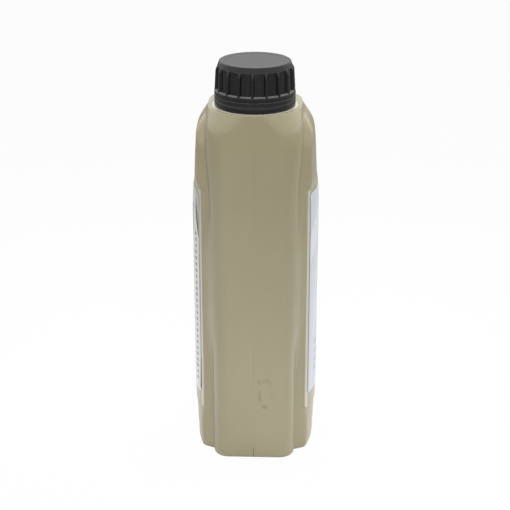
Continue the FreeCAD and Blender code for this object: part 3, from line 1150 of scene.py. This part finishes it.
@dataclass
class FilmLabel:
    """A thin printed film on one raised panel, with rounded corners."""

    bottle: BlownBottle
    side: Side
    half_width: float
    low: float
    high: float
    corner: float = 3.0
    film: float = 0.2
    glue: float = 0.05
    columns: int = 90

    def build(self, finish: Union[FrontPrint, BackPrint]) -> bpy.types.Object:
        """Lay a grid on the panel's crown: each row is as wide as the rounded outline there.

        Args:
            finish: What is printed on the film.

        Returns:
            The label.
        """
        near_end = np.linspace(0.0, self.corner, 8)
        z = np.concatenate([
            self.low + near_end,
            np.linspace(self.low + self.corner, self.high - self.corner, 40)[1:-1],
            self.high - near_end[::-1],
        ])[:, None]
        to_end = np.minimum(np.minimum(z - self.low, self.high - z), self.corner)
        drop = self.corner - np.sqrt(np.maximum(self.corner**2 - (self.corner - to_end) ** 2, 0.0))
        share = np.sin(np.linspace(-0.5, 0.5, self.columns) * math.pi)[None, :]
        x = share * (self.half_width - drop)
        lift = through(z, self.bottle.panel_rise) + self.glue + self.film
        y = crossing(lambda v: self.bottle.barrel(np.abs(x), v, z + 0 * v, lift), 15.0, 60.0, x)
        points = np.stack([x, y * self.side.value, z + 0 * x], axis=-1)
        rows, around = points.shape[:2]
        number = np.arange(rows * around).reshape(rows, around)
        quads = np.stack([number[:-1, :-1], number[:-1, 1:], number[1:, 1:], number[1:, :-1]], axis=-1)
        faces = quads.reshape(-1, 4)
        if self.side is Side.BACK:
            faces = faces[:, ::-1]
        node = "front_label" if self.side is Side.FRONT else "back_label"
        piece = finish_mesh(node + "_film", points.reshape(-1, 3), faces.tolist(), 60.0)
        thickness = piece.modifiers.new("film", "SOLIDIFY")
        thickness.thickness = self.film * MM
        thickness.offset = -1.0
        piece.data.materials.append(finish.material())
        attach(piece, "bottle")
        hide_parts(node)
        log.info("%s: %d by %d points", node, rows, around)
        return piece


@dataclass
class ScrewCap:
    """The cap: a flat top with a rounded edge, grip ribs, a knurled flange and a thread inside."""

    neck_x: float
    bottom: float
    top: float
    flange_radius: float
    top_radius: float = 20.7
    edge_round: float = 0.9
    ring_radius: float = 21.6
    ring_drop: float = 3.2
    pocket_top_radius: float = 21.35
    pocket_step: float = 0.35
    pocket_foot_radius: float = 21.9
    flange_height: float = 2.4
    rib_count: int = 18
    rib_width: float = 1.9
    rib_flank: float = 0.55
    flank_out: float = 0.3
    rib_head_radius: float = 22.75
    rib_foot_radius: float = 23.35
    rib_head_drop: float = 5.9
    rib_phase_deg: float = 1.6
    ledge_rise: float = 0.55
    bore: float = 20.6
    ceiling_drop: float = 1.8
    gate_radius: float = 0.8
    gate_rise: float = 0.12
    dish_radius: float = 18.0
    ring_mark_radius: float = 4.2
    ring_mark_width: float = 0.3
    ring_mark_depth: float = 0.07
    pole_radius: float = 0.15
    thread_start: float = 231.5
    thread_pitch: float = 4.0
    thread_turns: float = 1.25
    thread_depth: float = 1.4
    thread_root: float = 2.0
    thread_crest: float = 0.9

    @property
    def half_pitch(self) -> float:
        """Half the angle from one rib to the next."""
        return math.pi / self.rib_count

    @property
    def first_rib(self) -> float:
        """The first rib's angle."""
        return math.pi - math.radians(self.rib_phase_deg)

    def angles(self) -> np.ndarray:
        """Angles round the cap, closer together on the ribs' flanks."""
        top = self.rib_width / 2 / self.rib_head_radius
        flank = self.rib_flank / self.rib_head_radius
        one_side = np.concatenate([
            np.linspace(0.0, top - flank, 3)[:-1],
            np.linspace(top - flank, top + flank * self.flank_out, 5)[:-1],
            np.linspace(top + flank * self.flank_out, self.half_pitch, 6),
        ])
        pitch = np.concatenate([-one_side[:0:-1], one_side])[:-1]
        ribs = self.first_rib + np.arange(self.rib_count)[:, None] * 2 * self.half_pitch
        return (ribs + pitch).reshape(-1)

    def outside(self) -> np.ndarray:
        """The outline down the outside, from near the middle of the top to the cap's foot."""
        flange_top = self.bottom + self.flange_height
        ring_z = self.top - self.ring_drop
        corners = [
            (self.pole_radius, self.top, 0.0),
            (self.top_radius, self.top, self.edge_round),
            (self.ring_radius, ring_z, 0.15),
            (self.pocket_top_radius, ring_z - self.pocket_step, 0.1),
            (self.pocket_foot_radius, flange_top + self.ledge_rise, 0.1),
            (self.flange_radius - 0.1, flange_top - 0.1, 0.35),
            (self.flange_radius, self.bottom, 0.25),
            (self.bore, self.bottom, 0.25),
        ]
        return profile(corners, spacing=0.55)

    def rib_radius(self, z: np.ndarray, base: np.ndarray) -> np.ndarray:
        """Outer radius of a rib: a straight taper whose head falls to the cap in a quarter ellipse."""
        head = self.top - self.rib_head_drop
        foot = self.bottom + self.flange_height
        taper = (z - foot) / (head - foot)
        radius = self.rib_foot_radius + (self.rib_head_radius - self.rib_foot_radius) * taper
        past = (z - head) / (self.top - self.ring_drop + 0.1 - head)
        round_off = np.sqrt(np.clip(1.0 - np.clip(past, 0.0, 1.0) ** 2, 0.0, 1.0))
        radius = base + (radius - base) * round_off
        return np.where(z > foot - 0.05, np.maximum(radius, base), base)

    def build(self, finish: MouldedBlack) -> bpy.types.Object:
        """Skin the cap from its top down the outside, round its foot and up inside.

        Args:
            finish: The plastic.

        Returns:
            The cap.
        """
        angle = self.angles()
        outline = self.outside()
        under = (outline[:, 1] < self.bottom + 0.01) & (outline[:, 0] < self.flange_radius - 0.3)
        foot = int(np.argmax(under))
        base, z = outline[:, :1], outline[:, 1:]
        half = self.half_pitch
        off = np.abs(np.mod(angle - self.first_rib + half, 2 * half) - half) * base
        rib = ease((self.rib_width / 2 + self.rib_flank * self.flank_out - off) / self.rib_flank)
        on_side = (np.arange(len(outline))[:, None] < foot) & (base > self.top_radius)
        radius = base + (self.rib_radius(z, base) - base) * rib * on_side
        gate = self.gate_rise * np.exp(-((base / self.gate_radius) ** 4))
        mark = np.exp(-(((base - self.ring_mark_radius) / self.ring_mark_width) ** 2))
        dish = -self.gate_rise * ease((self.dish_radius - base) / 2.0)
        rises = (gate - self.ring_mark_depth * mark + dish) * (z > self.top - 0.01)
        height = z + rises + 0 * radius
        ceiling = self.top - self.ceiling_drop
        corners = [
            (self.bore, self.bottom + 0.3, 0.0),
            (self.bore, ceiling, 0.4),
            (self.pole_radius, ceiling, 0.0),
        ]
        inner = profile(corners, spacing=0.4)
        thin = (inner[:, 0] > self.bore - 0.5) | (np.arange(len(inner)) % 8 == 0)
        inner = inner[thin]
        ridge = helix_ridge(angle, inner[:, 1:], self.thread_start, self.thread_pitch,
                            self.thread_turns, self.thread_root, self.thread_crest)
        inner_radius = inner[:, :1] - self.thread_depth * ridge
        outside = to_points(radius, height, angle, self.neck_x)
        inside = to_points(inner_radius, inner[:, 1:] + 0 * ridge, angle, self.neck_x)
        rings = np.concatenate([outside, inside])[::-1]
        piece = ring_piece("ribbed_cap", rings, 38.0)
        piece.data.materials.append(finish.material())
        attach(piece, "cap")
        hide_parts("screw_cap")
        log.info("screw cap: %d rings of %d points", *rings.shape[:2])
        return piece


@dataclass
class TamperBand:
    """The ring that stays on the neck, with a thin groove round it and a lip inside."""

    neck_x: float
    bottom: float
    top: float
    outer: float
    wall: float = 1.6
    lip_radius: float = 20.8
    lip_height: float = 1.4
    groove_z: float = 3.5
    groove_depth: float = 0.18
    columns: int = 180

    def build(self, finish: MouldedBlack) -> bpy.types.Object:
        """Carry the band's closed section round the neck.

        Args:
            finish: The plastic.

        Returns:
            The band.
        """
        inner = self.outer - self.wall
        lip_top = self.bottom + self.lip_height
        groove = self.bottom + self.groove_z
        half = self.groove_depth * 1.4
        section = profile(
            [
                (self.lip_radius, self.bottom + 0.2, 0.0),
                (self.lip_radius, self.bottom, 0.15),
                (self.outer, self.bottom, 0.3),
                (self.outer, groove - half, 0.0),
                (self.outer - self.groove_depth, groove, 0.1),
                (self.outer, groove + half, 0.0),
                (self.outer, self.top, 0.25),
                (inner, self.top, 0.15),
                (inner, lip_top + inner - self.lip_radius, 0.0),
                (self.lip_radius, lip_top, 0.1),
            ],
            spacing=1.5)
        angle = np.linspace(0.0, 2 * math.pi, self.columns, endpoint=False)
        piece = ring_piece("tamper_ring", turned_rings(section, angle, self.neck_x), 38.0, endless=True)
        piece.data.materials.append(finish.material())
        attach(piece, "bottle")
        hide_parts("tamper_band")
        log.info("tamper band: %d points in its section", len(section))
        return piece


@dataclass(frozen=True)
class Softbox:
    """A square soft lamp, which glossy pieces don't mirror: its place and side in metres, its power."""

    name: str
    place: tuple
    side: float
    watts: float
    aim: tuple = (0.0, 0.0, 0.12)

    def build(self) -> None:
        """Hang the lamp and turn it to the bottle's middle."""
        data = bpy.data.lights.new(self.name, "AREA")
        data.size = self.side
        data.energy = self.watts
        lamp = bpy.data.objects.new(self.name, data)
        bpy.context.collection.objects.link(lamp)
        lamp.location = self.place
        lamp.visible_glossy = False
        way = Vector(self.aim) - Vector(self.place)
        lamp.rotation_euler = way.to_track_quat("-Z", "Y").to_euler()


@dataclass
class Studio:
    """White floor and surround, soft lamps and the camera of the photograph."""

    neck_x: float
    image_px: float = 510.0
    focal_px: float = 1317.5
    sensor_mm: float = 36.0
    distance: float = 740.0
    height: float = 421.75
    yaw_deg: float = 2.04
    pitch_deg: float = 21.79
    floor_half: float = 4.0
    world_light: float = 0.42
    lamps: tuple = (
        Softbox("left_softbox", (0.7, 0.95, 0.5), 0.8, 5.5),
        Softbox("right_softbox", (0.7, -0.95, 0.5), 0.8, 8.0),
        Softbox("top_softbox", (0.12, 0.0, 0.75), 0.32, 1.4),
        Softbox("front_softbox", (-1.0, -0.1, 1.05), 0.6, 8.9),
    )
    floor_fade: tuple = (0.1, 0.6, 0.86, 0.3)
    floor_glow: float = 0.965

    def camera(self) -> None:
        """Stand the camera beside the near end, looking down over the cap."""
        yaw, pitch = math.radians(self.yaw_deg), math.radians(self.pitch_deg)
        data = bpy.data.cameras.new("camera")
        data.sensor_width = self.sensor_mm
        data.lens = self.sensor_mm * self.focal_px / self.image_px
        data.clip_end = 50.0
        camera = bpy.data.objects.new("camera", data)
        bpy.context.collection.objects.link(camera)
        back = self.distance
        place = Vector((self.neck_x - back * math.cos(yaw), -back * math.sin(yaw), self.height))
        camera.location = place * MM
        look = Vector((math.cos(yaw) * math.cos(pitch), math.sin(yaw) * math.cos(pitch), -math.sin(pitch)))
        camera.rotation_euler = look.to_track_quat("-Z", "Y").to_euler()
        bpy.context.scene.camera = camera

    def seen(self, tree: bpy.types.NodeTree) -> bpy.types.NodeSocket:
        """1 for rays from the camera, from gloss and through glass.

        Args:
            tree: The node tree to add to.

        Returns:
            The socket with the mark.
        """
        path = tree.nodes.new("ShaderNodeLightPath")
        total = path.outputs["Is Camera Ray"]
        for name in ("Is Glossy Ray", "Is Transmission Ray"):
            node = tree.nodes.new("ShaderNodeMath")
            node.operation = "MAXIMUM"
            tree.links.new(total, node.inputs[0])
            tree.links.new(path.outputs[name], node.inputs[1])
            total = node.outputs[0]
        return total

    def world(self) -> None:
        """Surround that looks white and lights at a plain level."""
        world = bpy.data.worlds.new("surround")
        world.use_nodes = True
        bpy.context.scene.world = world
        tree = world.node_tree
        background = tree.nodes["Background"]
        background.inputs["Color"].default_value = (1.0, 1.0, 1.0, 1.0)
        strength = tree.nodes.new("ShaderNodeMapRange")
        tree.links.new(self.seen(tree), strength.inputs["Value"])
        strength.inputs["To Min"].default_value = self.world_light
        strength.inputs["To Max"].default_value = 1.0
        tree.links.new(strength.outputs["Result"], background.inputs["Strength"])

    def floor(self) -> None:
        """A wide floor, white to the camera, that keeps a little of the bottle's shadow.

        For other rays its colour is a painted pool of light, white round the bottle and fading to grey with
        distance, as a lit table in a darker room would look: floor_fade holds the two distances and the two
        shades.
        """
        half = self.floor_half
        mesh = bpy.data.meshes.new("floor")
        corners = [(-half, -half, 0), (half, -half, 0), (half, half, 0), (-half, half, 0)]
        mesh.from_pydata(corners, [], [(0, 1, 2, 3)])
        floor = bpy.data.objects.new("floor", mesh)
        bpy.context.collection.objects.link(floor)
        material = bpy.data.materials.new("white_floor")
        material.use_nodes = True
        tree = material.node_tree
        surface = tree.nodes["Principled BSDF"]
        place = tree.nodes.new("ShaderNodeTexCoord").outputs["Object"]
        away = tree.nodes.new("ShaderNodeVectorMath")
        away.operation = "LENGTH"
        tree.links.new(place, away.inputs[0])
        fade = tree.nodes.new("ShaderNodeMapRange")
        tree.links.new(away.outputs["Value"], fade.inputs["Value"])
        for socket, value in zip(list(fade.inputs)[1:5], self.floor_fade):
            socket.default_value = value
        # Painted pool of light: the floor's colour fades from white near the bottle to grey further out.
        tree.links.new(fade.outputs["Result"], surface.inputs["Base Color"])
        surface.inputs["Roughness"].default_value = 0.9
        surface.inputs["Specular IOR Level"].default_value = 0.0
        glow = tree.nodes.new("ShaderNodeEmission")
        mix = tree.nodes.new("ShaderNodeMixShader")
        share = tree.nodes.new("ShaderNodeMath")
        share.operation = "MULTIPLY"
        share.inputs[1].default_value = self.floor_glow
        path = tree.nodes.new("ShaderNodeLightPath")
        tree.links.new(path.outputs["Is Camera Ray"], share.inputs[0])
        tree.links.new(share.outputs[0], mix.inputs[0])
        tree.links.new(surface.outputs[0], mix.inputs[1])
        tree.links.new(glow.outputs[0], mix.inputs[2])
        tree.links.new(mix.outputs[0], tree.nodes["Material Output"].inputs["Surface"])
        mesh.materials.append(material)

    def build(self) -> None:
        """Set the camera, the surround, the floor and the lamps."""
        self.camera()
        self.world()
        self.floor()
        for softbox in self.lamps:
            softbox.build()
        bpy.context.scene.view_settings.view_transform = "Standard"
        log.info("studio: camera lens %.1f mm", bpy.context.scene.camera.data.lens)


def extent(node: str) -> tuple[np.ndarray, np.ndarray]:
    """A CAD node's lowest and highest corners in millimetres."""
    low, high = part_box(node)
    return np.array(low) / MM, np.array(high) / MM


def dress_node(node: str, material: bpy.types.Material) -> None:
    """Give a CAD node that stays as it is its finish.

    Args:
        node: The node's name.
        material: Its finish.
    """
    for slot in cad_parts[node].material_slots:
        slot.material = material
    log.info("%s: keeps its own shape", node)


def main() -> None:
    """Build the bottle, its closure, its labels and the studio, in that order."""
    logging.basicConfig(level=logging.INFO, format="%(name)s %(message)s")
    shell_low, shell_high = extent("bottle_shell")
    band_low, band_high = extent("tamper_band")
    cap_low, cap_high = extent("screw_cap")
    label_low, label_high = extent("front_label")
    band_gap = 0.3
    neck_x = float(band_low[0] + band_high[0]) / 2
    bottle = BlownBottle(
        half_length=float(shell_high[0] - shell_low[0]) / 2,
        neck_x=neck_x,
        collar=float(band_low[2]) - band_gap,
        rim=float(shell_high[2]),
    )
    bottle.build(BlownPlastic(neck_x))
    half_width = float(label_high[0] - label_low[0]) / 2
    for side, finish in ((Side.FRONT, FrontPrint()), (Side.BACK, BackPrint())):
        FilmLabel(bottle, side, half_width, float(label_low[2]), float(label_high[2])).build(finish)
    band_radius = float(band_high[0] - band_low[0]) / 2
    band = TamperBand(neck_x, float(band_low[2]), float(band_high[2]), band_radius)
    # Each ledge is the height band of a painted highlight: the band's top at the slit, and the cap's flange
    # top.
    knurl, ledge = (band.top - 0.7, band.top), (band.top - 0.12, band.top + 1.0)
    band.build(MouldedBlack("band_plastic", neck_x, knurl, ledge, band_radius - 0.1))
    cap = ScrewCap(neck_x, float(cap_low[2]), float(cap_high[2]), band_radius)
    flange_top = cap.bottom + cap.flange_height
    knurl, ledge = (cap.bottom, flange_top - 0.3), (flange_top - 0.05, flange_top + cap.ledge_rise + 0.1)
    cap.build(MouldedBlack("cap_plastic", neck_x, knurl, ledge, band_radius - 0.3))
    dress_node("cap_liner", FoamWad().material())
    dress_node("motor_oil", AmberOil().material())
    Studio(neck_x).build()


if __name__ == "__main__":
    main()
